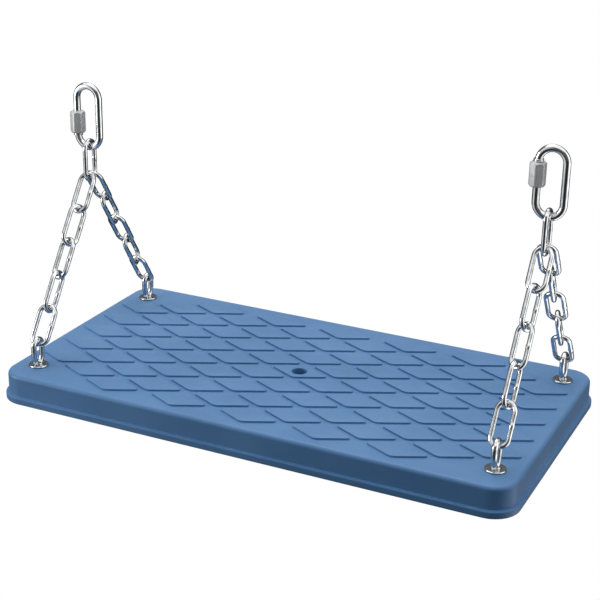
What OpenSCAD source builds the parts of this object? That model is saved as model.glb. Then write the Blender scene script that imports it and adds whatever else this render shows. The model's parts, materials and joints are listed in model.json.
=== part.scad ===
// Flat board swing seat on two pairs of short link chains.
// Each pair of chains meets in one common link under a quick link that hooks onto the main rope or chain.
// +X runs along the seat's long side, +Y to its back edge, +Z up.
// The origin is the middle of the seat's underside.

/* [Seat board] */
// Length of the board's top outline
board_l = 452; // [380:1:560]
// Width of the board's top outline
board_w = 236; // [200:1:300]
// Height of the deck surface over the bottom rim
board_h = 25; // [22:0.5:34]
// Radius of the outline's four corners
corner_r = 20; // [12:1:30]
// Radius of the rounded top edge
edge_r = 3.5; // [1:0.5:5]
// Thickness of the outer wall
wall_t = 4; // [3:0.5:6]
// Thickness of the deck
deck_t = 5; // [4:0.5:7]
// How far the bottom lip stands out past the wall
lip_out = 2.6; // [1:0.2:4]
// Height of the bottom lip
lip_h = 6; // [4:0.5:8]
// Thickness of the stiffening ribs
rib_t = 2.6; // [2:0.2:4]
// Height of the ribs' lower edge over the bottom rim
rib_gap = 4; // [2:0.5:6]
// Number of ribs along the length, on each side of the middle one
long_ribs = 1; // [0:1:2]
// Number of ribs across the width, on each side of the middle one
cross_ribs = 3; // [1:1:4]

/* [Tread] */
// Distance between neighbouring tread columns
tread_x = 32; // [26:1:38]
// Distance between neighbouring tread rows
tread_y = 15.8; // [13:0.2:19]
// Width of the groove between two pads
tread_gap = 4.4; // [2:0.2:6]
// Height of a pad over the deck
tread_h = 1.5; // [0.8:0.1:2.5]
// Columns on each side of the middle column
tread_cols = 6; // [3:1:6]
// Rows on each side of the middle row
tread_rows = 6; // [3:1:6]
// Half width of a pad's cut-off tip
tread_tip = 1.6; // [0.5:0.1:3]
// Diameter of the drain hole in the middle
drain_d = 13; // [8:0.5:18]
// Outside diameter of the drain hole's boss
drain_boss_d = 22; // [20:1:30]

/* [Eye bolts] */
// Distance from the eye bolts to the ends of the board's top outline
eye_end = 21.2; // [18:0.2:30]
// Distance from the eye bolts to the sides of the board's top outline
eye_side = 28.4; // [20:0.2:40]
// Height of the eye's top over the deck
eye_h = 26; // [25:0.5:34]
// Wire diameter of the eye
eye_wire = 4.8; // [4:0.2:5.4]
// Radius of the eye's wire centre line
eye_r = 5.8; // [5.4:0.1:7]
// Thread diameter of the shank
shank_d = 6; // [5:0.1:7.2]
// Diameter of the shoulder under the eye
shoulder_d = 9; // [8.5:0.5:12]
// Height of the shoulder under the eye
shoulder_h = 1.6; // [1:0.1:3]
// Clearance between the shank and the board's bore, on the diameter
bore_play = 0.6; // [0.4:0.1:1.2]
// Outside diameter of the washers
washer_d = 17; // [15:0.5:20]
// Thickness of the washers
washer_t = 1.5; // [1:0.1:2]
// Nut size across its flats
nut_af = 10; // [9:0.5:13]
// Height of a nut
nut_h = 6; // [5:0.5:7]
// Length of thread below a nut
shank_out = 2; // [1:0.5:2.5]
// Outside diameter of the bolt bosses under the deck
boss_d = 22; // [18:1:26]
// Height of the bolt bosses' lower end over the bottom rim
boss_z = 12; // [11:0.5:14]

/* [Chain] */
// Wire diameter of a chain link
link_wire = 4; // [3.3:0.1:4.8]
// Inside length of a chain link
link_in = 30.5; // [26:0.5:38]
// Room left in a link's width beside two of its own wires
link_spare = 2; // [1.4:0.1:4]
// Number of links in each strand
strand_links = 5; // [5:1:5]
// Play left between two wires that hook into each other
play = 0.3; // [0.3:0.05:0.5]

/* [Quick links] */
// Wire diameter of a quick link
hook_wire = 6; // [5:0.1:7.2]
// Outside length of a quick link
hook_l = 59.5; // [56:0.5:72]
// Outside width of a quick link
hook_w = 27.8; // [26:0.2:34]
// Sleeve size across its flats
sleeve_af = 12; // [10.5:0.5:14]
// Length of the sleeve
sleeve_l = 19; // [18:0.5:20]
// Travel of the sleeve when it is unscrewed
sleeve_travel = 12; // [10:0.5:12]
// Gap in the wire that the sleeve covers
hook_gap = 7.4; // [6:0.2:8]
// Length of thread that the sleeve holds below the gap
thread_hold = 4; // [3:0.5:5]
// Diameter of the collar that the sleeve screws against
collar_d = 8; // [7.5:0.5:9.5]
// Height of the collar
collar_h = 2.2; // [1.5:0.1:3]
// Play between the sleeve and the wire, on the diameter
sleeve_play = 0.4; // [0.3:0.1:0.6]

/* [Hidden] */
$fn = 48;
hex = 6;
weld = 0.5;           // how deep one stretch of a body reaches into the next
thread_play = 0.1;    // diametral play between a nut and its thread
chamfer = 0.8;        // corner cut of nuts, sleeves and shank ends

// board
half_l = board_l / 2;
half_w = board_w / 2;
cavity_h = board_h - deck_t;
eye_x = half_l - eye_end;
eye_y = half_w - eye_side;
rib_step_x = (half_l - wall_t) / (cross_ribs + 1);
rib_step_y = (half_w - wall_t) / (long_ribs + 1);

// tread pads: a rhombus whose sides stand half a groove back from its tile
tile_h = tread_x * tread_y / sqrt(tread_x * tread_x + tread_y * tread_y);
pad_share = (tile_h - tread_gap / 2) / tile_h;
pad_x = tread_x * pad_share;
pad_y = tread_y * pad_share;
tip_x = pad_x * (1 - tread_tip / pad_y);

// eye bolts
washer_top = board_h + washer_t;
eye_len = eye_h - washer_t - eye_wire;
eye_top = board_h + eye_h - eye_wire / 2;
eye_arc_z = eye_top - eye_r;
nut_top = boss_z - washer_t;
shank_end = nut_top - nut_h - shank_out;

// chain: the wires hook into each other with the stated play, and two links fit side by side in a third
link_gap = 2 * link_wire + link_spare;
link_r = (link_gap + link_wire) / 2;
link_len = link_in + link_wire;
link_step = link_in - play;
hook_step = link_wire + play;
strand_len = link_step * (strand_links - 1) + link_len;
apex_y = hook_step / 2;
eye_drop = eye_r - eye_wire / 2 - link_wire / 2 - play;
strand_dy = eye_y - apex_y;
strand_dz = sqrt(pow(strand_len + eye_drop, 2) - strand_dy * strand_dy);
strand_tilt = atan(strand_dy / strand_dz);
apex_z = eye_arc_z + strand_dz;

// common link: the two first links lie side by side in its lower bow
nest_r = link_gap / 2 - link_wire / 2 - play;
bow_z = apex_z + sqrt(nest_r * nest_r - apex_y * apex_y);
common_low_z = bow_z - link_r;
common_top_z = common_low_z + link_len;

// quick link
hook_r = (hook_w - hook_wire) / 2;
hook_len = hook_l - hook_wire;
hook_low_z = common_top_z - hook_wire / 2 - link_wire / 2 - play;
hook_mid_z = hook_low_z + hook_len / 2;
limb_half = hook_len / 2 - hook_r;
sleeve_z0 = limb_half - sleeve_travel - sleeve_l;
gap_z0 = sleeve_z0 + thread_hold;
gap_z1 = gap_z0 + hook_gap;

// turn of each link about its strand, counted from lying along or across the seat
turn_front_left = [4, 24, 16, 2, -10];
turn_back_left = [0, -12, -4, -12, 0];
turn_front_right = [4, 22, 28, 16, 2];
turn_back_right = [0, -14, -6, -16, -4];

// ---- shapes that repeat ----

// Rounded rectangle, half sizes hx and hy
module outline(hx, hy, r) {
    square([2 * hx, 2 * (hy - r)], center = true);
    square([2 * (hx - r), 2 * hy], center = true);
    for (sx = [-1, 1], sy = [-1, 1])
        translate([sx * (hx - r), sy * (hy - r)])
            circle(r);
}

// Section of the board across one direction, with its two top edges rounded
module edge_section(half, top, r) {
    square_h = top - r;
    translate([-half, 0])
        square([2 * half, square_h]);
    translate([-half + r, 0])
        square([2 * (half - r), top]);
    for (side = [-1, 1])
        translate([side * (half - r), square_h])
            circle(r);
}

// Closed oval of round wire, standing along Z with its bows in the XZ plane
module wire_oval(length, bow_r, wire_d) {
    straight = length - 2 * bow_r;
    for (side = [-1, 1])
        translate([side * bow_r, 0, -straight / 2])
            cylinder(h = straight, d = wire_d);
    for (up = [0, 1])
        mirror([0, 0, 1 - up])
            translate([0, 0, straight / 2])
                rotate([90, 0, 0])
                    rotate_extrude(angle = 180)
                        translate([bow_r, 0])
                            circle(d = wire_d);
}

module chain_link() {
    color("silver")
        wire_oval(link_len, link_r, link_wire);
}

// Link number i of a strand, from the common link down
module strand_link(side_x, side_y, i, turns) {
    translate([side_x * eye_x, side_y * apex_y, apex_z])
        rotate([side_y * strand_tilt, 0, 0])
            translate([0, 0, -(i * link_step + link_len / 2)])
                rotate([0, 0, -turns[i] - 90 * (i % 2)])
                    chain_link();
}

// Four copies, one over each eye bolt
module at_corners() {
    for (sx = [-1, 1], sy = [-1, 1])
        translate([sx * eye_x, sy * eye_y, 0])
            children();
}

module washer(z) {
    translate([0, 0, z])
        difference() {
            cylinder(h = washer_t, d = washer_d);
            translate([0, 0, -1])
                cylinder(h = washer_t + 2, d = shank_d + bore_play);
        }
}

// ---- seat board ----

module tread_pads() {
    for (i = [-tread_cols : tread_cols], j = [-tread_rows : tread_rows])
        if ((i + j) % 2 == 0 && !(abs(i) == tread_cols && abs(j) == tread_rows))
            translate([i * tread_x, j * tread_y])
                polygon([
                    [-tip_x, -tread_tip], [0, -pad_y], [tip_x, -tread_tip],
                    [tip_x, tread_tip], [0, pad_y], [-tip_x, tread_tip]
                ]);
}

module board_shell() {
    intersection() {
        linear_extrude(board_h)
            outline(half_l, half_w, corner_r);
        rotate([90, 0, 0])
            linear_extrude(board_w + 2, center = true)
                edge_section(half_l, board_h, edge_r);
        rotate([90, 0, 90])
            linear_extrude(board_l + 2, center = true)
                edge_section(half_w, board_h, edge_r);
    }
    linear_extrude(lip_h)
        outline(half_l + lip_out, half_w + lip_out, corner_r + lip_out);
}

module board_cavity() {
    translate([0, 0, -1])
        linear_extrude(cavity_h + 1)
            outline(half_l - wall_t, half_w - wall_t, corner_r - wall_t);
}

module board_ribs() {
    rib_h = cavity_h - rib_gap + weld;
    for (i = [-cross_ribs : cross_ribs])
        translate([i * rib_step_x - rib_t / 2, -half_w + wall_t / 2, rib_gap])
            cube([rib_t, board_w - wall_t, rib_h]);
    for (j = [-long_ribs : long_ribs])
        translate([-half_l + wall_t / 2, j * rib_step_y - rib_t / 2, rib_gap])
            cube([board_l - wall_t, rib_t, rib_h]);
}

module bolt_bosses() {
    boss_h = cavity_h - boss_z + weld;
    at_corners()
        translate([0, 0, boss_z])
            cylinder(h = boss_h, d = boss_d);
    for (sx = [-1, 1], sy = [-1, 1])
        translate([sx * eye_x, sy * eye_y, boss_z]) {
            translate([sx > 0 ? 0 : -eye_end + wall_t / 2, -rib_t / 2, 0])
                cube([eye_end - wall_t / 2, rib_t, boss_h]);
            translate([-rib_t / 2, sy > 0 ? 0 : -eye_side + wall_t / 2, 0])
                cube([rib_t, eye_side - wall_t / 2, boss_h]);
        }
}

module seat_board() {
    color("steelblue")
        difference() {
            union() {
                difference() {
                    board_shell();
                    board_cavity();
                }
                board_ribs();
                bolt_bosses();
                translate([0, 0, rib_gap])
                    cylinder(h = cavity_h - rib_gap + weld, d = drain_boss_d);
                translate([0, 0, board_h - weld])
                    linear_extrude(tread_h + weld)
                        tread_pads();
            }
            translate([0, 0, -1])
                cylinder(h = board_h + tread_h + 2, d = drain_d);
            at_corners()
                cylinder(h = board_h + tread_h + 1, d = shank_d + bore_play);
        }
}

// ---- eye bolts and their fasteners ----

module eye_bolt(side_x, side_y) {
    color("silver")
        translate([side_x * eye_x, side_y * eye_y, 0]) {
            translate([0, 0, eye_top - eye_len / 2])
                rotate([0, 0, 90])
                    wire_oval(eye_len, eye_r, eye_wire);
            translate([0, 0, washer_top])
                cylinder(h = shoulder_h, d = shoulder_d);
            translate([0, 0, shank_end + chamfer])
                cylinder(h = washer_top - shank_end, d = shank_d);
            translate([0, 0, shank_end])
                cylinder(h = chamfer, d1 = shank_d - 2 * chamfer, d2 = shank_d);
        }
}

module top_washers() {
    color("silver")
        at_corners()
            washer(board_h);
}

module bottom_washers() {
    color("silver")
        at_corners()
            washer(nut_top);
}

// Hexagon with its corners turned down at both ends
module turned_hex(af, h) {
    across = af / cos(30);
    intersection() {
        cylinder(h = h, d = across, $fn = hex);
        rotate_extrude()
            polygon([
                [0, 0], [af / 2 - chamfer / 4, 0], [across / 2 + chamfer / 4, chamfer],
                [across / 2 + chamfer / 4, h - chamfer], [af / 2 - chamfer / 4, h], [0, h]
            ]);
    }
}

module lock_nuts() {
    color("silver")
        at_corners()
            translate([0, 0, nut_top - nut_h])
                difference() {
                    turned_hex(nut_af, nut_h);
                    translate([0, 0, -1])
                        cylinder(h = nut_h + 2, d = shank_d + thread_play);
                }
}

// ---- quick links ----

module common_link(side_x) {
    translate([side_x * eye_x, 0, (common_low_z + common_top_z) / 2])
        rotate([0, 0, 90])
            chain_link();
}

// The left one opens upwards; the right one hangs the other way up
module place_hook(side_x) {
    translate([side_x * eye_x, 0, hook_mid_z])
        rotate([side_x > 0 ? 180 : 0, 0, 0])
            children();
}

module quick_link(side_x) {
    color("silver")
        place_hook(side_x) {
            difference() {
                wire_oval(hook_len, hook_r, hook_wire);
                translate([-hook_r - hook_wire, -hook_wire, gap_z0])
                    cube([2 * hook_wire, 2 * hook_wire, hook_gap]);
            }
            translate([-hook_r, 0, sleeve_z0 - collar_h - play / 2])
                cylinder(h = collar_h, d = collar_d);
        }
}

module screw_sleeve(side_x) {
    color("darkgray")
        place_hook(side_x)
            translate([-hook_r, 0, sleeve_z0])
                difference() {
                    rotate([0, 0, 30])
                        turned_hex(sleeve_af, sleeve_l);
                    translate([0, 0, -1])
                        cylinder(h = sleeve_l + 2, d = hook_wire + sleeve_play);
                }
}

// ---- assembly ----

seat_board();
eye_bolt(-1, -1);  // eye_bolt_front_left
eye_bolt(1, -1);  // eye_bolt_front_right
eye_bolt(-1, 1);  // eye_bolt_back_left
eye_bolt(1, 1);  // eye_bolt_back_right
top_washers();
bottom_washers();
lock_nuts();
for (i = [0 : strand_links - 1]) {
    strand_link(-1, -1, i, turn_front_left);
    strand_link(-1, 1, i, turn_back_left);
    strand_link(1, -1, i, turn_front_right);
    strand_link(1, 1, i, turn_back_right);
}
common_link(-1);  // common_link_left
common_link(1);  // common_link_right
quick_link(-1);  // quick_link_left
quick_link(1);  // quick_link_right
screw_sleeve(-1);  // screw_sleeve_left
screw_sleeve(1);  // screw_sleeve_right
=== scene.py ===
import json
import math
import bpy
import bmesh
import numpy as np
from mathutils import Matrix, Vector


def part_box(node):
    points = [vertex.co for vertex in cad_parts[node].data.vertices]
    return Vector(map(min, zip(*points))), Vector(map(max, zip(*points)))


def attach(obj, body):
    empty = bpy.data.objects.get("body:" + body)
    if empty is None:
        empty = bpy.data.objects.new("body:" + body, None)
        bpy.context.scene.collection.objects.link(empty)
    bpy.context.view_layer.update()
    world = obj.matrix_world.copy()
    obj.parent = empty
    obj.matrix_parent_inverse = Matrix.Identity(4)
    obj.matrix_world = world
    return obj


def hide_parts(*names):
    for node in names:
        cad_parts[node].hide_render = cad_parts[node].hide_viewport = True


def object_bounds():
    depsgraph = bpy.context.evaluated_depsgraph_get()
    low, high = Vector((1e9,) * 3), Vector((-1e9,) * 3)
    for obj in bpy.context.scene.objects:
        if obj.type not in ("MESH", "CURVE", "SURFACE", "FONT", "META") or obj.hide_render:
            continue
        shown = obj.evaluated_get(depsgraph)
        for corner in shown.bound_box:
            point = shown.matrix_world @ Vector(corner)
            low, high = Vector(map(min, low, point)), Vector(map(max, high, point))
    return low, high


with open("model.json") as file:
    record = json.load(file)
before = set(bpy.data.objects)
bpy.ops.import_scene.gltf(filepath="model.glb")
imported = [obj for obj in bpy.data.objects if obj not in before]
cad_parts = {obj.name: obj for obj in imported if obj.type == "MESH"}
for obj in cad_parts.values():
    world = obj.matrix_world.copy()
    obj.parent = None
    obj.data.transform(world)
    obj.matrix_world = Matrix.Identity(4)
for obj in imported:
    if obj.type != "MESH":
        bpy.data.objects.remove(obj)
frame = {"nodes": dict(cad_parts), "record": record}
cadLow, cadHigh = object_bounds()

mm = 0.001


def addObject(name, data):
    thing = bpy.data.objects.new(name, data)
    bpy.context.scene.collection.objects.link(thing)
    return thing


def linearFrom(hexColour):
    # sRGB hex to the linear values that shaders take
    channels = [int(hexColour[i:i + 2], 16) / 255 for i in (1, 3, 5)]
    return [c / 12.92 if c <= 0.04045 else ((c + 0.055) / 1.055) ** 2.4 for c in channels] + [1.0]


def addNode(tree, kind, settings=None, inputs=None):
    # an input is a constant or another node's socket
    node = tree.nodes.new(kind)
    for name, value in (settings or {}).items():
        setattr(node, name, value)
    for name, value in (inputs or {}).items():
        if isinstance(value, bpy.types.NodeSocket):
            tree.links.new(value, node.inputs[name])
        else:
            node.inputs[name].default_value = value
    return node


def colourRamp(tree, factor, stops):
    ramp = addNode(tree, "ShaderNodeValToRGB", inputs={"Fac": factor})
    elements = ramp.color_ramp.elements
    while len(elements) < len(stops):
        elements.new(0.5)
    for element, (place, colour) in zip(elements, stops):
        element.position = place
        element.color = linearFrom(colour)
    return ramp.outputs["Color"]


def newMaterial(name):
    material = bpy.data.materials.new(name)
    material.use_nodes = True
    tree = material.node_tree
    tree.nodes.clear()
    shader = addNode(tree, "ShaderNodeBsdfPrincipled")
    out = addNode(tree, "ShaderNodeOutputMaterial")
    tree.links.new(shader.outputs["BSDF"], out.inputs["Surface"])
    return material, tree, shader


def noise(tree, place, size, detail=3.0, roughness=0.55):
    # size is the real size of one blotch, in metres
    node = addNode(tree, "ShaderNodeTexNoise", inputs={
        "Vector": place, "Scale": 1 / size, "Detail": detail, "Roughness": roughness})
    return node.outputs["Fac"]


def mapRange(tree, value, fromRange, toRange):
    node = addNode(tree, "ShaderNodeMapRange", inputs={
        "Value": value, "From Min": fromRange[0], "From Max": fromRange[1],
        "To Min": toRange[0], "To Max": toRange[1]})
    return node.outputs["Result"]


def bumped(tree, height, strength, distance, under=None):
    # under is the normal of the bump that this one is added to
    node = addNode(tree, "ShaderNodeBump", inputs={
        "Strength": strength, "Distance": distance, "Height": height})
    if under is not None:
        tree.links.new(under, node.inputs["Normal"])
    return node.outputs["Normal"]


def mathNode(tree, operation, a, b):
    return addNode(tree, "ShaderNodeMath", {"operation": operation}, {0: a, 1: b}).outputs[0]


def dotProduct(tree, a, b):
    node = addNode(tree, "ShaderNodeVectorMath", {"operation": "DOT_PRODUCT"}, {0: a, 1: b})
    return node.outputs["Value"]


def mixColour(tree, factor, first, second):
    # the mix node's colour sockets share their names with others, so they go by number
    return addNode(tree, "ShaderNodeMix", {"data_type": "RGBA"}, {0: factor, 6: first, 7: second}).outputs[2]


plasticLook = {
    "shades": [(0.34, "#406e9c"), (0.52, "#4573a2"), (0.70, "#4b78a6")],
    "blotch": 70 * mm,          # slow change of shade across the moulding
    "scuff": "#7d9dc0",
    "scratch": 24 * mm,         # length of the fine rub marks
    "scratchStretch": (1, 14, 14), "scratchTurn": (0, 0, 0.5),
    "rubbed": (0.62, 0.78), "rubStrength": 0.22,
    "worn": (0.35, 0.7), "rough": (0.40, 0.50),
    "grain": 1.3 * mm,          # pebble grain, coarse enough to show
    "grainLift": 0.12 * mm,
    "dip": 14 * mm, "dipLift": 0.25 * mm, "bumpStrength": 0.25,
    "gloss": 0.4, "sheen": 0.15, "sheenRough": 0.45,
}


def mouldedPolyethylene():
    # moulded polyethylene: waxy, with soft highlights, a faint pebble grain and pale hairline rubs
    look = plasticLook
    material, tree, shader = newMaterial("mouldedBluePolyethylene")
    place = addNode(tree, "ShaderNodeTexCoord").outputs["Object"]
    shade = colourRamp(tree, noise(tree, place, look["blotch"]), look["shades"])
    stretched = addNode(tree, "ShaderNodeMapping", inputs={
        "Vector": place, "Rotation": look["scratchTurn"], "Scale": look["scratchStretch"]}).outputs["Vector"]
    scratch = noise(tree, stretched, look["scratch"], 5.0, 0.6)
    rubbed = mapRange(tree, scratch, look["rubbed"], (0.0, look["rubStrength"]))
    tree.links.new(mixColour(tree, rubbed, shade, linearFrom(look["scuff"])), shader.inputs["Base Color"])
    tree.links.new(mapRange(tree, scratch, look["worn"], look["rough"]), shader.inputs["Roughness"])
    grain = addNode(tree, "ShaderNodeTexVoronoi", {"feature": "SMOOTH_F1"}, {
        "Vector": place, "Scale": 1 / look["grain"], "Smoothness": 0.7}).outputs["Distance"]
    pebbled = bumped(tree, grain, look["bumpStrength"], look["grainLift"])
    dipped = noise(tree, place, look["dip"], 2.0)
    settled = bumped(tree, dipped, look["bumpStrength"], look["dipLift"], pebbled)
    tree.links.new(settled, shader.inputs["Normal"])
    shader.inputs["IOR"].default_value = 1.5
    shader.inputs["Specular IOR Level"].default_value = look["gloss"]
    # the fine grain scatters light that strikes it at a low angle, which greys the deck
    shader.inputs["Sheen Weight"].default_value = look["sheen"]
    shader.inputs["Sheen Roughness"].default_value = look["sheenRough"]
    return material


metalLook = {
    "zincPlatedWire": {
        "pale": "#e4e5e6", "dull": "#b9bbbd", "rough": (0.22, 0.10),
        "blotch": 6 * mm, "wave": 4.0 * mm, "lift": 0.03 * mm},
    "polishedHookWire": {
        "pale": "#e8e9ea", "dull": "#c3c5c7", "rough": (0.16, 0.08),
        "blotch": 9 * mm, "wave": 6.0 * mm, "lift": 0.03 * mm},
    "zincPlatedBolt": {
        "pale": "#dcdedf", "dull": "#adb0b2", "rough": (0.26, 0.12),
        "blotch": 4 * mm, "wave": 3.0 * mm, "lift": 0.04 * mm},
}


def platedSteel(name):
    # bright zinc over drawn steel wire: mirror-like, with cloudy patches and slight drawing waves
    look = metalLook[name]
    material, tree, shader = newMaterial(name)
    place = addNode(tree, "ShaderNodeTexCoord").outputs["Object"]
    cloud = noise(tree, place, look["blotch"], 5.0, 0.6)
    colour = colourRamp(tree, cloud, [(0.35, look["dull"]), (0.62, look["pale"])])
    tree.links.new(colour, shader.inputs["Base Color"])
    tree.links.new(mapRange(tree, cloud, (0.3, 0.7), look["rough"]), shader.inputs["Roughness"])
    waves = bumped(tree, noise(tree, place, look["wave"], 2.0), 0.5, look["lift"])
    tree.links.new(waves, shader.inputs["Normal"])
    shader.inputs["Metallic"].default_value = 1.0
    return material


sleeveLook = {
    "pale": "#dcdddd", "dull": "#cecfcf", "rough": (0.52, 0.42), "blotch": 5 * mm, "metallic": 0.45,
    "turning": 0.45 * mm, "turningLift": 0.03 * mm, "pit": 0.9 * mm, "pitLift": 0.05 * mm,
    "bumpStrength": 0.3, "bandSpacing": 0.314,      # between the wave texture's bands at a scale of one
}


def tumbledSteel():
    # barrel-tumbled hexagon bar: even satin grey with faint turning marks round it
    look = sleeveLook
    material, tree, shader = newMaterial("tumbledSleeveSteel")
    place = addNode(tree, "ShaderNodeTexCoord").outputs["Object"]
    cloud = noise(tree, place, look["blotch"], 4.0)
    colour = colourRamp(tree, cloud, [(0.35, look["dull"]), (0.65, look["pale"])])
    tree.links.new(colour, shader.inputs["Base Color"])
    tree.links.new(mapRange(tree, cloud, (0.3, 0.7), look["rough"]), shader.inputs["Roughness"])
    marks = addNode(tree, "ShaderNodeTexWave", {"wave_type": "BANDS", "bands_direction": "Z"}, {
        "Vector": place, "Scale": look["bandSpacing"] / look["turning"],
        "Distortion": 1.5, "Detail": 2.0}).outputs["Fac"]
    turned = bumped(tree, marks, look["bumpStrength"], look["turningLift"])
    pitted = bumped(tree, noise(tree, place, look["pit"]), look["bumpStrength"], look["pitLift"], turned)
    tree.links.new(pitted, shader.inputs["Normal"])
    shader.inputs["Metallic"].default_value = look["metallic"]
    return material


seatBlue = mouldedPolyethylene()
chainZinc = platedSteel("zincPlatedWire")
hookZinc = platedSteel("polishedHookWire")
boltZinc = platedSteel("zincPlatedBolt")
sleeveSteel = tumbledSteel()
print("materials made")


def smoothPiece(piece, angle):
    mesh = piece.data
    mesh.shade_smooth()
    mesh.set_sharp_from_angle(angle=math.radians(angle))


def meshObject(name, vertices, faces, material, smoothAngle=35):
    mesh = bpy.data.meshes.new(name)
    mesh.from_pydata([tuple(v) for v in vertices], [], faces)
    mesh.validate()
    mesh.materials.append(material)
    piece = addObject(name, mesh)
    smoothPiece(piece, smoothAngle)
    return piece


def stitchRings(rings, closedRound):
    # rings of equal point counts become a skin of quads; an open run gets a flat cap at both ends
    count = len(rings[0])
    vertices = [p for ring in rings for p in ring]
    faces = []
    for i in range(len(rings) if closedRound else len(rings) - 1):
        a = i * count
        b = ((i + 1) % len(rings)) * count
        for k in range(count):
            n = (k + 1) % count
            faces.append((a + k, a + n, b + n, b + k))
    if not closedRound:
        faces.append(tuple(reversed(range(count))))
        faces.append(tuple(range((len(rings) - 1) * count, len(rings) * count)))
    return vertices, faces


def outwards(piece):
    # one clean, closed skin with its faces pointing outwards
    work = bmesh.new()
    work.from_mesh(piece.data)
    bmesh.ops.remove_doubles(work, verts=work.verts, dist=1e-6)
    bmesh.ops.recalc_face_normals(work, faces=work.faces)
    work.to_mesh(piece.data)
    work.free()
    return piece


def spunRing(profile, turn, centre):
    # the profile's (radius, height) points, standing at that turn about the upright line through centre
    x, y, base = centre
    return [Vector((x + r * math.cos(turn), y + r * math.sin(turn), base + z)) for r, z in profile]


def latheObject(name, profile, material, segments=56, centre=(0, 0, 0)):
    # profile is a closed loop of (radius, height), all off the axis
    rings = [spunRing(profile, 2 * math.pi * k / segments, centre) for k in range(segments)]
    vertices, faces = stitchRings(rings, closedRound=True)
    return outwards(meshObject(name, vertices, faces, material))


def roundedLoop(corners, steps=5):
    # corners are (x, y, radius); each is rounded by an arc
    points = []
    count = len(corners)
    for i, (x, y, radius) in enumerate(corners):
        here = Vector((x, y))
        if radius <= 0:
            points.append((x, y))
            continue
        before = (Vector(corners[i - 1][:2]) - here).normalized()
        after = (Vector(corners[(i + 1) % count][:2]) - here).normalized()
        half = before.angle(after) / 2
        reach = radius / math.tan(half)
        centre = here + (before + after).normalized() * (radius / math.sin(half))
        start = here + before * reach - centre
        finish = here + after * reach - centre
        sweep = start.angle_signed(finish)
        for s in range(steps + 1):
            turned = start.copy()
            turned.rotate(Matrix.Rotation(-sweep * s / steps, 2))
            points.append(tuple(centre + turned))
    return points


def joinPieces(name, pieces):
    # one mesh from several closed shells
    work = bmesh.new()
    for piece in pieces:
        work.from_mesh(piece.data)
    mesh = bpy.data.meshes.new(name)
    work.to_mesh(mesh)
    work.free()
    mesh.materials.append(pieces[0].data.materials[0])
    joined = addObject(name, mesh)
    for piece in pieces:
        bpy.data.objects.remove(piece)
    return joined


def sweepWire(name, path, radiusAt, material, sides, normal=Vector((0, 1, 0))):
    # path lies in a plane with that normal; radiusAt(distance, turn) gives the wire's radius
    rings = []
    along = 0.0
    for i, point in enumerate(path):
        before = path[max(i - 1, 0)]
        after = path[min(i + 1, len(path) - 1)]
        tangent = (after - before).normalized()
        side = normal.cross(tangent).normalized()
        along += (point - before).length
        ring = []
        for k in range(sides):
            turn = 2 * math.pi * k / sides
            ring.append(point + (side * math.cos(turn) + normal * math.sin(turn)) * radiusAt(along, turn))
        rings.append(ring)
    vertices, faces = stitchRings(rings, closedRound=False)
    return outwards(meshObject(name, vertices, faces, material, 50))


def newTree(name, sizes):
    # sizes are the tree's named inputs with their values
    tree = bpy.data.node_groups.new(name, "GeometryNodeTree")
    tree.interface.new_socket("Geometry", in_out="OUTPUT", socket_type="NodeSocketGeometry")
    for label, value in sizes.items():
        kind = "NodeSocketInt" if isinstance(value, int) else "NodeSocketFloat"
        socket = tree.interface.new_socket(label, in_out="INPUT", socket_type=kind)
        socket.default_value = value
    return tree, addNode(tree, "NodeGroupInput"), addNode(tree, "NodeGroupOutput")


def closeTree(tree, shape, result, material):
    real = addNode(tree, "GeometryNodeRealizeInstances", inputs={"Geometry": shape})
    painted = addNode(tree, "GeometryNodeSetMaterial", inputs={
        "Geometry": real.outputs[0], "Material": material})
    tree.links.new(painted.outputs[0], result.inputs[0])


def boreTree(tree, shape, radius, sides):
    # an upright bore through the middle of the shape
    cutter = addNode(tree, "GeometryNodeMeshCylinder", {"fill_type": "NGON"}, {
        "Vertices": sides, "Radius": radius, "Depth": throughLength})
    bored = addNode(tree, "GeometryNodeMeshBoolean", {"operation": "DIFFERENCE", "solver": "EXACT"}, {
        "Mesh 1": shape, "Mesh 2": cutter.outputs["Mesh"]})
    return bored.outputs[0]


def growPiece(name, tree, sizes):
    # runs the tree on an empty mesh and keeps the plain result
    holder = addObject(name + "Holder", bpy.data.meshes.new(name + "Holder"))
    modifier = holder.modifiers.new("grow", "NODES")
    modifier.node_group = tree
    for item in tree.interface.items_tree:
        if item.item_type == "SOCKET" and item.in_out == "INPUT":
            modifier[item.identifier] = sizes[item.name]
    graph = bpy.context.evaluated_depsgraph_get()
    mesh = bpy.data.meshes.new_from_object(holder.evaluated_get(graph))
    mesh.name = name
    bpy.data.objects.remove(holder)
    return addObject(name, mesh)


def nodeCentre(node):
    low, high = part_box(node)
    return (low + high) / 2


def ringPlace(node):
    # a wire ring's own axes: X across it, Y along it, Z through it
    points = np.array([v.co for v in frame["nodes"][node].data.vertices])
    axes = np.linalg.eigh(np.cov((points - points.mean(0)).T))[1]
    along, across = axes[:, 2], axes[:, 1]
    along = along * (1 if along[2] > 0 else -1)
    across = across * (1 if across[0] > 0 else -1)
    place = Matrix((across, along, np.cross(across, along))).transposed().to_4x4()
    place.translation = nodeCentre(node)
    return place


def standFor(piece, node, body):
    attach(piece, body)
    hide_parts(node)


cameraSetup = {
    "place": (0.4746, -1.0049, 0.5283), "azimuth": 25.31, "downTilt": 21.46, "roll": 0.985, "lens": 85.7}


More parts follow.
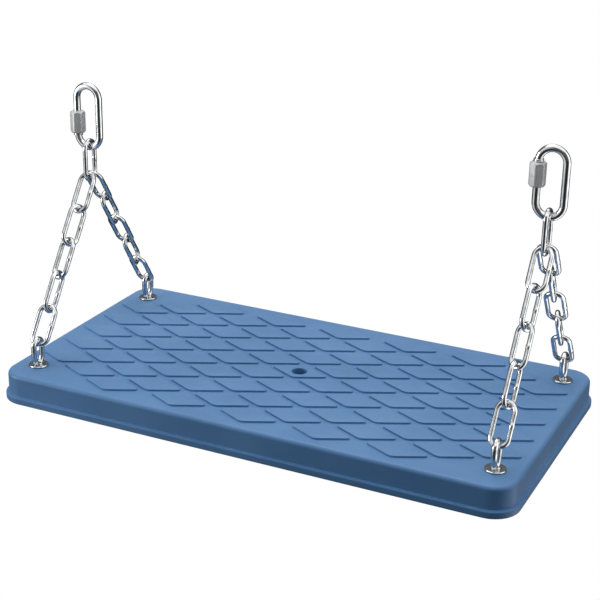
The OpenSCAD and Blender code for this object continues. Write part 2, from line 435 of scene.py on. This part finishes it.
def makeCamera():
    look = cameraSetup
    data = bpy.data.cameras.new("camera")
    data.lens = look["lens"]
    data.sensor_width = 36
    camera = addObject("camera", data)
    turn = math.radians(look["azimuth"])
    tilt = math.radians(look["downTilt"])
    roll = math.radians(look["roll"])
    forward = Vector((-math.sin(turn) * math.cos(tilt), math.cos(turn) * math.cos(tilt), -math.sin(tilt)))
    right = Vector((math.cos(turn), math.sin(turn), 0))
    up = right.cross(forward)
    across = right * math.cos(roll) + up * math.sin(roll)
    upright = up * math.cos(roll) - right * math.sin(roll)
    pose = Matrix((across, upright, -forward)).transposed().to_4x4()
    pose.translation = Vector(look["place"])
    camera.matrix_world = pose
    bpy.context.scene.camera = camera


studio = {
    "floorDrop": 0.30, "floorSize": 16.0, "bounce": 0.05, "white": (1, 1, 1, 1),
    "front": (0.4226, -0.9063, 0.0), "frontDark": (0.55, 0.85), "backDark": (0.0, -0.22),
    "cards": (0.8, 1.75), "cardEdge": (-0.1, 0.1), "floorDark": 0.03, "skyDark": 0.12,
    "overhead": 1.3, "overheadEdge": (0.62, 0.70),
    "ambient": 0.07, "dome": 1.72, "domeFrom": (0.05, 0.42, 0.90), "aim": (0, 0, 0.05),
    "keyPower": 9.0, "keySize": 1.3, "keyPlace": (-0.6, 0.8, 2.0),
    "sidePower": 3.2, "sideSize": 0.4, "sidePlace": (-0.75, -0.5, 0.22),
}


def studioCards(tree, direction, dark):
    # what bright metal mirrors: a white card on each side, dark in front and behind
    look = studio
    flat = addNode(tree, "ShaderNodeVectorMath", {"operation": "MULTIPLY"}, {0: direction, 1: (1, 1, 0)})
    level = addNode(tree, "ShaderNodeVectorMath", {"operation": "NORMALIZE"}, {0: flat.outputs[0]})
    facing = dotProduct(tree, level.outputs[0], look["front"])
    side = dotProduct(tree, level.outputs[0], (-look["front"][1], look["front"][0], 0))
    notFront = mapRange(tree, facing, look["frontDark"], (1.0, 0.0))
    notBack = mapRange(tree, facing, look["backDark"], (1.0, 0.0))
    white = mapRange(tree, side, look["cardEdge"], look["cards"])
    shown = mathNode(tree, "MULTIPLY", mathNode(tree, "MULTIPLY", notFront, notBack), white)
    return mathNode(tree, "MAXIMUM", shown, dark)


def makeFloor():
    # white paper sweep, which lets a view from below through
    look = studio
    half = look["floorSize"] / 2
    z = cadLow.z - look["floorDrop"]
    corners = [(-half, -half, z), (half, -half, z), (half, half, z), (-half, half, z)]
    material, tree, shader = newMaterial("whitePaperFloor")
    place = addNode(tree, "ShaderNodeTexCoord").outputs["Object"]
    ray = addNode(tree, "ShaderNodeLightPath").outputs
    cards = studioCards(tree, place, look["floorDark"])
    mirrored = mapRange(tree, ray["Is Glossy Ray"], (0.0, 1.0), (look["bounce"], cards))
    glow = mathNode(tree, "MAXIMUM", ray["Is Camera Ray"], mirrored)
    paper = addNode(tree, "ShaderNodeEmission", inputs={"Color": look["white"], "Strength": glow})
    clear = addNode(tree, "ShaderNodeBsdfTransparent")
    beneath = addNode(tree, "ShaderNodeNewGeometry").outputs["Backfacing"]
    sheet = addNode(tree, "ShaderNodeMixShader", inputs={
        0: beneath, 1: paper.outputs[0], 2: clear.outputs[0]})
    out = [node for node in tree.nodes if node.type == "OUTPUT_MATERIAL"][0]
    tree.links.new(sheet.outputs[0], out.inputs["Surface"])
    tree.nodes.remove(shader)
    meshObject("floor", corners, [(0, 1, 2, 3)], material)


def makeLight(name, place, size, power):
    data = bpy.data.lights.new(name, "AREA")
    data.shape = "DISK"
    data.size = size
    data.energy = power
    light = addObject(name, data)
    aim = Vector(studio["aim"]) - Vector(place)
    pose = aim.to_track_quat("-Z", "Y").to_matrix().to_4x4()
    pose.translation = Vector(place)
    light.matrix_world = pose


def makeSky():
    # a soft white dome, brightest above and behind; bright metal mirrors the cards instead
    look = studio
    world = bpy.data.worlds.new("studioDome")
    bpy.context.scene.world = world
    world.use_nodes = True
    tree = world.node_tree
    tree.nodes.clear()
    direction = addNode(tree, "ShaderNodeTexCoord").outputs["Generated"]
    height = addNode(tree, "ShaderNodeSeparateXYZ", inputs={"Vector": direction}).outputs["Z"]
    above = mapRange(tree, height, look["overheadEdge"], (0.0, 1.0))
    cards = studioCards(tree, direction, look["skyDark"])
    mirrored = mapRange(tree, above, (0.0, 1.0), (cards, look["overhead"]))
    facing = mathNode(tree, "MAXIMUM", dotProduct(tree, direction, look["domeFrom"]), 0.0)
    soft = mathNode(tree, "ADD", mathNode(tree, "MULTIPLY", facing, look["dome"]), look["ambient"])
    ray = addNode(tree, "ShaderNodeLightPath").outputs
    lit = mapRange(tree, ray["Is Glossy Ray"], (0.0, 1.0), (soft, mirrored))
    strength = mathNode(tree, "MAXIMUM", ray["Is Camera Ray"], lit)
    back = addNode(tree, "ShaderNodeBackground", inputs={"Color": look["white"], "Strength": strength})
    out = addNode(tree, "ShaderNodeOutputWorld")
    tree.links.new(back.outputs["Background"], out.inputs["Surface"])


makeCamera()
makeFloor()
makeLight("keyLight", studio["keyPlace"], studio["keySize"], studio["keyPower"])
makeLight("sideLight", studio["sidePlace"], studio["sideSize"], studio["sidePower"])
makeSky()
bpy.context.scene.view_settings.view_transform = "Standard"
print("camera and studio made")


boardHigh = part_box("seat_board")[1]
board = {
    "lipOut": 2.6 * mm, "lipHeight": 6.0 * mm, "lipRound": 0.9 * mm, "lipFillet": 0.5 * mm,
    "edgeRound": 3.5 * mm, "wall": 4.0 * mm, "deck": 5.0 * mm, "cornerRadius": 20.0 * mm,
    "leastRadius": 0.4 * mm, "innerRound": 2.0 * mm, "footRound": 0.8 * mm, "treadHeight": 1.5 * mm,
    "drainRadius": 6.5 * mm, "drainBoss": 11.0 * mm, "drainBossLow": 4.0 * mm, "drainRim": 2.2 * mm,
    "drainEdge": 1.0 * mm, "drainSink": 0.02 * mm, "drainPlay": 0.5 * mm,
    "boltBoss": 11.0 * mm, "boltBossLow": 12.0 * mm, "boltBore": 3.3 * mm,
    "bossRound": 0.8 * mm, "overlap": 1.0 * mm,         # how far bosses and ribs run into the deck
    "flatRing": 40 * mm, "ringGap": 1 * mm, "innerFlat": 4 * mm,
    "cornerSteps": 14, "longSteps": 26, "shortSteps": 14,
}
deckTop = boardHigh.z - board["treadHeight"]
deckUnder = deckTop - board["deck"]
halfLength = boardHigh.x - board["lipOut"]
halfWidth = boardHigh.y - board["lipOut"]
boltX = nodeCentre("eye_bolt_front_right").x
boltY = nodeCentre("eye_bolt_back_right").y
boltPlaces = [(sx * boltX, sy * boltY, 0) for sx in (-1, 1) for sy in (-1, 1)]
throughLength = 200 * mm        # a cutter this long passes right through the board


def outlineRing(inset, z):
    # the board's rounded rectangle, moved in from its top outline
    radius = max(board["cornerRadius"] - inset, board["leastRadius"])
    x = halfLength - inset - radius
    y = halfWidth - inset - radius
    corners = [(x, y), (-x, y), (-x, -y), (x, -y)]
    points = []
    for quarter in range(4):
        cx, cy = corners[quarter]
        for s in range(board["cornerSteps"] + 1):
            turn = math.radians(90 * (quarter + s / board["cornerSteps"]))
            points.append(Vector((cx + radius * math.cos(turn), cy + radius * math.sin(turn), z)))
        start = points[-1]
        nx, ny = corners[(quarter + 1) % 4]
        finish = Vector((nx + radius * math.cos(turn), ny + radius * math.sin(turn), z))
        steps = board["longSteps"] if quarter % 2 == 0 else board["shortSteps"]
        points += [start.lerp(finish, s / steps) for s in range(1, steps)]
    return points


def circleRing(radius, z, like):
    return [Vector((radius * p.x / p.xy.length, radius * p.y / p.xy.length, z)) for p in like]


def boardShell():
    # foot, proud lip, wall, rounded top edge and deck outside; deck, rounded corner and wall inside
    b = board
    section = roundedLoop([
        (b["wall"], 0, b["footRound"]), (-b["lipOut"], 0, b["lipRound"]),
        (-b["lipOut"], b["lipHeight"], b["lipRound"]), (0, b["lipHeight"], b["lipFillet"]),
        (0, deckTop, b["edgeRound"]), (b["edgeRound"] + b["ringGap"], deckTop, 0),
        (b["flatRing"], deckTop, 0), (b["flatRing"] + b["ringGap"], deckUnder, 0),
        (b["wall"] + b["innerFlat"], deckUnder, 0), (b["wall"], deckUnder, b["innerRound"])], 7)
    last = max(i for i, corner in enumerate(section) if corner[0] == b["flatRing"])
    rings = [outlineRing(inset, z) for inset, z in section[:last + 1]]
    under = [outlineRing(inset, z) for inset, z in section[last + 1:]]
    bore = b["drainRadius"] + b["drainPlay"]
    rings.append(circleRing(bore, deckTop, rings[-1]))
    rings.append(circleRing(bore, deckUnder, under[0]))
    vertices, faces = stitchRings(rings + under, closedRound=True)
    return outwards(meshObject("boardShell", vertices, faces, seatBlue))


def drill(piece, radius):
    # a bore right through at each bolt, one boolean for each
    for place in boltPlaces:
        work = bmesh.new()
        bmesh.ops.create_cone(work, cap_ends=True, segments=40, radius1=radius, radius2=radius,
                              depth=throughLength, matrix=Matrix.Translation(place))
        mesh = bpy.data.meshes.new("drillBit")
        work.to_mesh(mesh)
        work.free()
        bit = addObject("drillBit", mesh)
        modifier = piece.modifiers.new("drill", "BOOLEAN")
        modifier.operation = "DIFFERENCE"
        modifier.solver = "EXACT"
        modifier.object = bit
        graph = bpy.context.evaluated_depsgraph_get()
        drilled = bpy.data.meshes.new_from_object(piece.evaluated_get(graph))
        piece.modifiers.clear()
        piece.data = drilled
        bpy.data.objects.remove(bit)
    return piece


def drainBoss():
    # a tube round the drain, with a thinner rim that comes up through the deck
    b = board
    bore = b["drainRadius"]
    rim = bore + b["drainRim"]
    shoulder = deckUnder + b["overlap"]
    top = boardHigh.z - b["drainSink"]
    profile = roundedLoop([
        (bore, b["drainBossLow"], b["bossRound"]), (b["drainBoss"], b["drainBossLow"], b["bossRound"]),
        (b["drainBoss"], shoulder, 0), (rim, shoulder, 0), (rim, top, 0), (bore, top, b["drainEdge"])], 6)
    return latheObject("drainBoss", profile, seatBlue, 72)


def boltBoss(place):
    # a tube under the deck with its lower edge rounded
    b = board
    low = b["boltBossLow"]
    high = deckUnder + b["overlap"]
    profile = roundedLoop([
        (b["boltBore"], low, b["bossRound"] / 2), (b["boltBoss"], low, b["bossRound"]),
        (b["boltBoss"], high, 0), (b["boltBore"], high, 0)])
    return latheObject("boltBoss", profile, seatBlue, centre=place)


treadSizes = {
    "columnStep": 32.0 * mm, "rowStep": 15.8 * mm, "groove": 4.4 * mm, "height": 1.5 * mm, "sink": 0.5 * mm,
    "edgeRound": 0.3 * mm, "sideRound": 8.0 * mm, "tipRound": 2.0 * mm, "deckLevel": deckTop,
    "drainRadius": board["drainRadius"] + 1.2 * mm, "columns": 6, "rows": 6,
}


def treadTree():
    # rhombic pads on every second crossing of a grid, but for its four corners; the drain cuts the middle one
    tree, given, result = newTree("diamondTread", treadSizes)
    size = given.outputs

    def calc(operation, a, b=0.0):
        return mathNode(tree, operation, a, b)

    tileReach = calc("DIVIDE", calc("MULTIPLY", size["columnStep"], size["rowStep"]), calc("SQRT", calc(
        "ADD", calc("POWER", size["columnStep"], 2.0), calc("POWER", size["rowStep"], 2.0))))
    share = calc("SUBTRACT", 1.0, calc("DIVIDE", calc("MULTIPLY", size["groove"], 0.5), tileReach))
    halfHeight = calc("MULTIPLY", size["rowStep"], share)
    kite = addNode(tree, "GeometryNodeCurvePrimitiveQuadrilateral", {"mode": "KITE"}, {
        "Width": calc("MULTIPLY", calc("MULTIPLY", size["columnStep"], share), 2.0),
        "Bottom Height": halfHeight, "Top Height": halfHeight})
    place = addNode(tree, "GeometryNodeInputPosition").outputs[0]
    where = addNode(tree, "ShaderNodeSeparateXYZ", inputs={"Vector": place}).outputs
    atTip = calc("GREATER_THAN", calc("ABSOLUTE", where["X"]), calc("ABSOLUTE", where["Y"]))
    radius = mapRange(tree, atTip, (0.0, 1.0), (size["sideRound"], size["tipRound"]))
    rounded = addNode(tree, "GeometryNodeFilletCurve", {"mode": "POLY"}, {
        "Curve": kite.outputs[0], "Count": 6, "Radius": radius, "Limit Radius": True})
    face = addNode(tree, "GeometryNodeFillCurve", {"mode": "NGONS"}, {"Curve": rounded.outputs[0]})
    up = addNode(tree, "ShaderNodeCombineXYZ", inputs={"Z": 1.0}).outputs[0]
    wall = addNode(tree, "GeometryNodeExtrudeMesh", {"mode": "FACES"}, {
        "Mesh": face.outputs[0], "Offset": up, "Individual": False,
        "Offset Scale": calc("SUBTRACT", calc("ADD", size["height"], size["sink"]), size["edgeRound"])})
    mesh, top = wall.outputs["Mesh"], wall.outputs["Top"]
    for step in (0, 30, 60):     # the top edge is rounded in three steps of 30 degrees
        before, after = math.radians(step), math.radians(step + 30)
        raised = addNode(tree, "GeometryNodeExtrudeMesh", {"mode": "FACES"}, {
            "Mesh": mesh, "Selection": top, "Offset": up, "Individual": False,
            "Offset Scale": calc("MULTIPLY", size["edgeRound"], math.sin(after) - math.sin(before))})
        inward = calc("MULTIPLY", size["edgeRound"], math.cos(before) - math.cos(after))
        shrunk = addNode(tree, "GeometryNodeScaleElements", {"domain": "FACE"}, {
            "Geometry": raised.outputs["Mesh"], "Selection": raised.outputs["Top"],
            "Scale": calc("SUBTRACT", 1.0, calc("DIVIDE", inward, tileReach))})
        mesh, top = shrunk.outputs[0], raised.outputs["Top"]
    grid = addNode(tree, "GeometryNodeMeshGrid", inputs={
        "Size X": calc("MULTIPLY", calc("MULTIPLY", size["columnStep"], size["columns"]), 2.0),
        "Size Y": calc("MULTIPLY", calc("MULTIPLY", size["rowStep"], size["rows"]), 2.0),
        "Vertices X": calc("ADD", calc("MULTIPLY", size["columns"], 2.0), 1.0),
        "Vertices Y": calc("ADD", calc("MULTIPLY", size["rows"], 2.0), 1.0)})
    column = calc("ROUND", calc("DIVIDE", where["X"], size["columnStep"]))
    row = calc("ROUND", calc("DIVIDE", where["Y"], size["rowStep"]))
    odd = calc("GREATER_THAN", calc("ABSOLUTE", calc("MODULO", calc("ADD", column, row), 2.0)), 0.5)
    endColumn = calc("GREATER_THAN", calc("ABSOLUTE", column), calc("SUBTRACT", size["columns"], 0.5))
    endRow = calc("GREATER_THAN", calc("ABSOLUTE", row), calc("SUBTRACT", size["rows"], 0.5))
    skipped = calc("MAXIMUM", odd, calc("MULTIPLY", endColumn, endRow))
    spots = addNode(tree, "GeometryNodeInstanceOnPoints", inputs={
        "Points": grid.outputs[0], "Instance": mesh, "Selection": calc("LESS_THAN", skipped, 0.5)})
    pads = addNode(tree, "GeometryNodeRealizeInstances", inputs={"Geometry": spots.outputs[0]})
    lift = addNode(tree, "ShaderNodeCombineXYZ", inputs={
        "Z": calc("SUBTRACT", size["deckLevel"], size["sink"])}).outputs[0]
    lifted = addNode(tree, "GeometryNodeTransform", inputs={"Geometry": pads.outputs[0], "Translation": lift})
    drained = boreTree(tree, lifted.outputs[0], size["drainRadius"], 72)
    closeTree(tree, drained, result, seatBlue)
    return tree


crossRibSizes = {
    "step": 55.5 * mm, "length": 2 * (halfWidth - board["wall"]) + board["overlap"], "thickness": 2.6 * mm,
    "low": 4.0 * mm, "high": deckUnder + board["overlap"], "drainRadius": board["drainRadius"] + 1.0 * mm,
    "count": 7,
}
longRibSizes = dict(
    crossRibSizes, step=57.0 * mm, length=2 * (halfLength - board["wall"]) + board["overlap"], count=3)


def ribTree(name, sizes, acrossBoard):
    # upright plates at an even step, with the drain's bore through them
    tree, given, result = newTree(name, sizes)
    size = given.outputs

    def calc(operation, a, b=0.0):
        return mathNode(tree, operation, a, b)

    stepAxis, lengthAxis = ("X", "Y") if acrossBoard else ("Y", "X")
    first = calc("MULTIPLY", calc("MULTIPLY", size["step"], calc("SUBTRACT", size["count"], 1.0)), -0.5)
    middle = calc("MULTIPLY", calc("ADD", size["low"], size["high"]), 0.5)
    start = addNode(tree, "ShaderNodeCombineXYZ", inputs={stepAxis: first, "Z": middle}).outputs[0]
    offset = addNode(tree, "ShaderNodeCombineXYZ", inputs={stepAxis: size["step"]}).outputs[0]
    line = addNode(tree, "GeometryNodeMeshLine", inputs={
        "Count": size["count"], "Start Location": start, "Offset": offset})
    plateSize = addNode(tree, "ShaderNodeCombineXYZ", inputs={
        stepAxis: size["thickness"], lengthAxis: size["length"],
        "Z": calc("SUBTRACT", size["high"], size["low"])}).outputs[0]
    plate = addNode(tree, "GeometryNodeMeshCube", inputs={"Size": plateSize})
    plates = addNode(tree, "GeometryNodeInstanceOnPoints", inputs={
        "Points": line.outputs[0], "Instance": plate.outputs[0]})
    solid = addNode(tree, "GeometryNodeRealizeInstances", inputs={"Geometry": plates.outputs[0]})
    closeTree(tree, boreTree(tree, solid.outputs[0], size["drainRadius"], 48), result, seatBlue)
    return tree


def makeSeatBoard():
    parts = [drill(boardShell(), board["boltBore"]), drainBoss()]
    parts += [boltBoss(place) for place in boltPlaces]
    parts.append(growPiece("treadPads", treadTree(), treadSizes))
    parts.append(growPiece("crossRibs", ribTree("crossRibs", crossRibSizes, True), crossRibSizes))
    parts.append(growPiece("longRibs", ribTree("longRibs", longRibSizes, False), longRibSizes))
    seat = joinPieces("seatBoard", parts)
    smoothPiece(seat, 32)
    standFor(seat, "seat_board", "seat")


makeSeatBoard()
print("seat board made")


linkSizes = {
    "wire": 4.0 * mm, "across": 14.0 * mm, "along": 34.5 * mm, "weldSwell": 0.11, "weldWidth": 1.5 * mm,
    "bowRound": 0.4999, "bowSteps": 16, "steps": 88, "sides": 22,
}


def linkTree():
    # a bent wire oval, with a swollen butt weld half way up one leg
    tree, given, result = newTree("chainLink", linkSizes)
    size = given.outputs

    def calc(operation, a, b=0.0):
        return mathNode(tree, operation, a, b)

    oblong = addNode(tree, "GeometryNodeCurvePrimitiveQuadrilateral", {"mode": "RECTANGLE"}, {
        "Width": size["across"], "Height": size["along"]})
    oval = addNode(tree, "GeometryNodeFilletCurve", {"mode": "POLY"}, {
        "Curve": oblong.outputs[0], "Count": size["bowSteps"], "Limit Radius": True,
        "Radius": calc("MULTIPLY", size["across"], size["bowRound"])})
    even = addNode(tree, "GeometryNodeResampleCurve", inputs={
        "Curve": oval.outputs[0], "Count": size["steps"]})
    place = addNode(tree, "GeometryNodeInputPosition").outputs[0]
    where = addNode(tree, "ShaderNodeSeparateXYZ", inputs={"Vector": place}).outputs
    offWeld = calc("POWER", calc("DIVIDE", where["Y"], size["weldWidth"]), 2.0)
    swell = calc("MULTIPLY", calc("EXPONENT", calc("MULTIPLY", offWeld, -1.0)), size["weldSwell"])
    onLeg = calc("GREATER_THAN", where["X"], 0.0)
    thickness = calc("ADD", 1.0, calc("MULTIPLY", swell, onLeg))
    section = addNode(tree, "GeometryNodeCurvePrimitiveCircle", inputs={
        "Resolution": size["sides"], "Radius": calc("MULTIPLY", size["wire"], 0.5)})
    wire = addNode(tree, "GeometryNodeCurveToMesh", inputs={
        "Curve": even.outputs[0], "Profile Curve": section.outputs[0], "Scale": thickness})
    closeTree(tree, wire.outputs[0], result, chainZinc)
    return tree


def makeChains():
    tree = linkTree()
    for body, nodes in frame["record"]["behaviour"]["bodies"].items():
        for node in nodes:
            if "link" not in node or "quick" in node:
                continue
            link = growPiece("chain_" + node, tree, linkSizes)
            link.data.transform(ringPlace(node))
            outwards(link)
            link.data.shade_smooth()
            standFor(link, node, body)


makeChains()
print("chain links made")


def threadRadius(radius, depth, pitch, along, turn):
    # a rolled thread: the radius dips by depth once each pitch, turning as it goes
    wave = math.cos(2 * math.pi * along / pitch - turn)
    return radius - depth * (0.5 - 0.5 * wave)


def stepsBetween(first, last, step):
    count = max(1, round(abs(last - first) / step))
    return [first + (last - first) * k / count for k in range(count)]


hook = {
    "wire": 6.0 * mm, "bow": 10.9 * mm, "leg": 15.85 * mm, "legStep": 2 * mm,
    "gapLow": -11.15 * mm, "gapHigh": -3.75 * mm, "threadLow": 4.0 * mm, "threadHigh": 6.0 * mm,
    "threadEnd": 5.5 * mm, "pitch": 1.0 * mm, "threadDepth": 0.55 * mm, "endBevel": 0.6 * mm,
    "collarBore": 2.6 * mm, "collarLow": -17.5 * mm, "collarHigh": -15.3 * mm, "collarRadius": 4.0 * mm,
    "collarBead": 0.55 * mm, "groove": 3.45 * mm, "grooveHalf": 0.15 * mm, "grooveLip": 0.3 * mm,
    "grooveFoot": 0.1 * mm,
}


def hookWire():
    # a C of round wire with threaded ends that face each other inside the sleeve
    h = hook
    fine = h["pitch"] / 6

    def leg(x, first, last, step):
        return [Vector((x, 0, z)) for z in stepsBetween(first, last, step)]

    def bow(z, first):
        turns = [math.radians(first + a) for a in range(0, 180, 5)]
        return [Vector((h["bow"] * math.cos(t), 0, z + h["bow"] * math.sin(t))) for t in turns]

    threadTop = h["gapHigh"] + h["threadHigh"]
    path = leg(-h["bow"], h["gapLow"], -h["leg"], fine)
    path += bow(-h["leg"], 180)
    path += leg(h["bow"], -h["leg"], h["leg"], h["legStep"])
    path += bow(h["leg"], 0)
    path += leg(-h["bow"], h["leg"], threadTop, h["legStep"])
    path += leg(-h["bow"], threadTop, h["gapHigh"], fine)
    path.append(Vector((-h["bow"], 0, h["gapHigh"])))
    total = sum((b - a).length for a, b in zip(path, path[1:]))

    def radiusAt(along, turn):
        left = total - along
        radius = h["wire"] / 2
        if along < h["threadLow"] or left < h["threadEnd"]:
            radius = threadRadius(radius, h["threadDepth"], h["pitch"], along, turn)
        return min(radius, h["wire"] / 2 - h["endBevel"] + min(along, left))

    return sweepWire("hookWire", path, radiusAt, hookZinc, 32)


def hookCollar():
    # two beads with a groove between them
    h = hook
    outer = h["collarRadius"]
    low = h["collarLow"]
    high = h["collarHigh"]
    middle = (low + high) / 2
    profile = roundedLoop([
        (h["collarBore"], low, 0), (outer, low, h["collarBead"]),
        (outer, middle - h["grooveHalf"], h["grooveLip"]), (h["groove"], middle, h["grooveFoot"]),
        (outer, middle + h["grooveHalf"], h["grooveLip"]), (outer, high, h["collarBead"]),
        (h["collarBore"], high, 0)])
    return latheObject("hookCollar", profile, hookZinc, centre=(-h["bow"], 0, 0))


def hexTurned(name, sizes, low, high, material, centre, cornerAt=0.0, segments=96):
    # hexagon bar with its corners eased, both ends turned to a cone, and a through bore
    bore = sizes["bore"]
    edge = sizes["edge"]
    apothem = sizes["across"] / 2
    corner = apothem / math.cos(math.radians(30)) - sizes["cornerEase"]
    face = apothem - sizes["faceInset"]
    slope = math.tan(math.radians(sizes["coneAngle"]))
    rings = []
    for k in range(segments):
        turn = 2 * math.pi * k / segments
        fromFlat = (turn - math.radians(cornerAt)) % (math.pi / 3) - math.pi / 6
        reach = min(apothem / math.cos(fromFlat), corner)
        drop = (reach - face) * slope
        profile = roundedLoop([
            (bore, low, edge), (face, low, edge), (reach, low + drop, edge),
            (reach, high - drop, edge), (face, high, edge), (bore, high, edge)], 3)
        rings.append(spunRing(profile, turn, centre))
    vertices, faces = stitchRings(rings, closedRound=True)
    piece = outwards(meshObject(name, vertices, faces, material))
    smoothPiece(piece, 22)
    return piece


sleeveSizes = {
    "across": 12.0 * mm, "cornerEase": 0.35 * mm, "faceInset": 0.55 * mm, "coneAngle": 50.0,
    "bore": 3.2 * mm, "edge": 0.22 * mm, "low": -15.15 * mm, "high": 3.85 * mm,
}


def makeQuickLinks():
    for side in ("left", "right"):
        # the right one hangs the other way up, so its sleeve opens downwards
        centre = nodeCentre("common_link_" + side)
        flip = Matrix.Rotation(math.pi if side == "right" else 0.0, 4, "X")
        place = Matrix.Translation((centre.x, 0, nodeCentre("quick_link_" + side).z)) @ flip
        link = joinPieces("quickLink_" + side, [hookWire(), hookCollar()])
        smoothPiece(link, 40)
        link.data.transform(place)
        standFor(link, "quick_link_" + side, "hangers")
        sleeve = hexTurned(
            "screwSleeve_" + side, sleeveSizes, sleeveSizes["low"], sleeveSizes["high"], sleeveSteel,
            (-hook["bow"], 0, 0), 30.0, 120)
        sleeve.data.transform(place)
        standFor(sleeve, "screw_sleeve_" + side, "sleeve_" + side)


makeQuickLinks()
print("quick links and sleeves made")


eye = {
    "wire": 4.8 * mm, "bow": 5.8 * mm, "neck": 1.5 * mm, "neckLow": 26.8 * mm, "neckBend": 2.4 * mm,
    "neckSpread": 3.8 * mm, "sideBend": 9.0 * mm, "legSteps": 18,
    "flange": 4.0 * mm, "flangeBore": 1.0 * mm, "flangeHeight": 1.4 * mm, "flangeEdge": 0.6 * mm,
    "flangeFoot": 0.2 * mm, "shank": 3.0 * mm, "shankRise": 1.0 * mm, "pitch": 1.0 * mm,
    "threadDepth": 0.5 * mm, "endBevel": 0.6 * mm,
}


def eyeRing(top):
    # wire bent to a teardrop: a round bow above, and both legs closing to a narrow neck
    e = eye
    bowZ = top - e["wire"] / 2 - e["bow"]
    ends = [
        Vector((0, e["neck"], e["neckLow"])),
        Vector((0, e["neck"] + e["neckSpread"], e["neckLow"] + e["neckBend"])),
        Vector((0, e["bow"], bowZ - e["sideBend"])),
        Vector((0, e["bow"], bowZ))]
    leg = []
    for s in range(e["legSteps"]):
        t = s / e["legSteps"]
        weights = ((1 - t) ** 3, 3 * t * (1 - t) ** 2, 3 * t * t * (1 - t), t ** 3)
        leg.append(sum((p * w for p, w in zip(ends, weights)), Vector()))
    turns = [math.radians(a) for a in range(0, 181, 6)]
    arc = [Vector((0, e["bow"] * math.cos(t), bowZ + e["bow"] * math.sin(t))) for t in turns]
    back = [Vector((0, -p.y, p.z)) for p in reversed(leg)]
    return sweepWire("eyeRing", leg + arc + back, lambda along, turn: e["wire"] / 2, boltZinc, 26,
                     normal=Vector((1, 0, 0)))


def eyeFlange(foot):
    e = eye
    top = foot + e["flangeHeight"]
    profile = roundedLoop([
        (e["flangeBore"], foot, 0), (e["flange"], foot, e["flangeFoot"]),
        (e["flange"], top, e["flangeEdge"]), (e["flangeBore"], top, 0)])
    return latheObject("eyeFlange", profile, boltZinc)


def eyeShank(low, high):
    e = eye
    path = [Vector((0, 0, z)) for z in stepsBetween(low, high, e["pitch"] / 6)]

    def radiusAt(along, turn):
        radius = threadRadius(e["shank"], e["threadDepth"], e["pitch"], along, turn)
        return min(radius, e["shank"] - e["endBevel"] + along)

    return sweepWire("eyeShank", path, radiusAt, boltZinc, 28)


def makeEyeBolts():
    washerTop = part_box("top_washers")[1].z
    for row in ("front", "back"):
        for side in ("left", "right"):
            node = "eye_bolt_" + row + "_" + side
            low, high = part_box(node)
            centre = nodeCentre(node)
            bolt = joinPieces("eyeBolt_" + row + "_" + side, [
                eyeRing(high.z), eyeFlange(washerTop), eyeShank(low.z, washerTop + eye["shankRise"])])
            smoothPiece(bolt, 50)
            bolt.data.transform(Matrix.Translation((centre.x, centre.y, 0)))
            standFor(bolt, node, "seat")


washer = {"radius": 8.5 * mm, "bore": 3.2 * mm, "edge": 0.7 * mm, "innerEdge": 0.3 * mm}


def makeWashers(node, name):
    w = washer
    low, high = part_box(node)
    profile = roundedLoop([
        (w["bore"], low.z, w["innerEdge"]), (w["radius"], low.z, w["edge"]),
        (w["radius"], high.z, w["edge"]), (w["bore"], high.z, w["innerEdge"])])
    washers = joinPieces(name, [latheObject("washer", profile, boltZinc, 72, place) for place in boltPlaces])
    smoothPiece(washers, 30)
    standFor(washers, node, "seat")


nutSizes = {
    "across": 10.0 * mm, "cornerEase": 0.15 * mm, "faceInset": 0.3 * mm, "coneAngle": 32.0,
    "bore": 3.05 * mm, "edge": 0.12 * mm, "insertHeight": 1.7 * mm, "insertRadius": 4.35 * mm,
    "insertEdge": 0.7 * mm, "insertBore": 3.3 * mm, "insertInner": 0.2 * mm, "insertOverlap": 0.3 * mm,
}


def makeLockNuts():
    # a plain hexagon above and the round collar of the nylon insert below
    n = nutSizes
    low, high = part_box("lock_nuts")
    shoulder = low.z + n["insertHeight"]
    insert = roundedLoop([
        (n["insertBore"], low.z, n["insertInner"]), (n["insertRadius"], low.z, n["insertEdge"]),
        (n["insertRadius"], shoulder, 0), (n["insertBore"], shoulder, 0)])
    parts = []
    for place in boltPlaces:
        parts.append(hexTurned("nutBody", n, shoulder - n["insertOverlap"], high.z, boltZinc, place))
        parts.append(latheObject("nutCollar", insert, boltZinc, centre=place))
    nuts = joinPieces("lockNuts", parts)
    smoothPiece(nuts, 25)
    standFor(nuts, "lock_nuts", "seat")


makeEyeBolts()
makeWashers("top_washers", "topWashers")
makeWashers("bottom_washers", "bottomWashers")
makeLockNuts()
print("eye bolts, washers and nuts made")
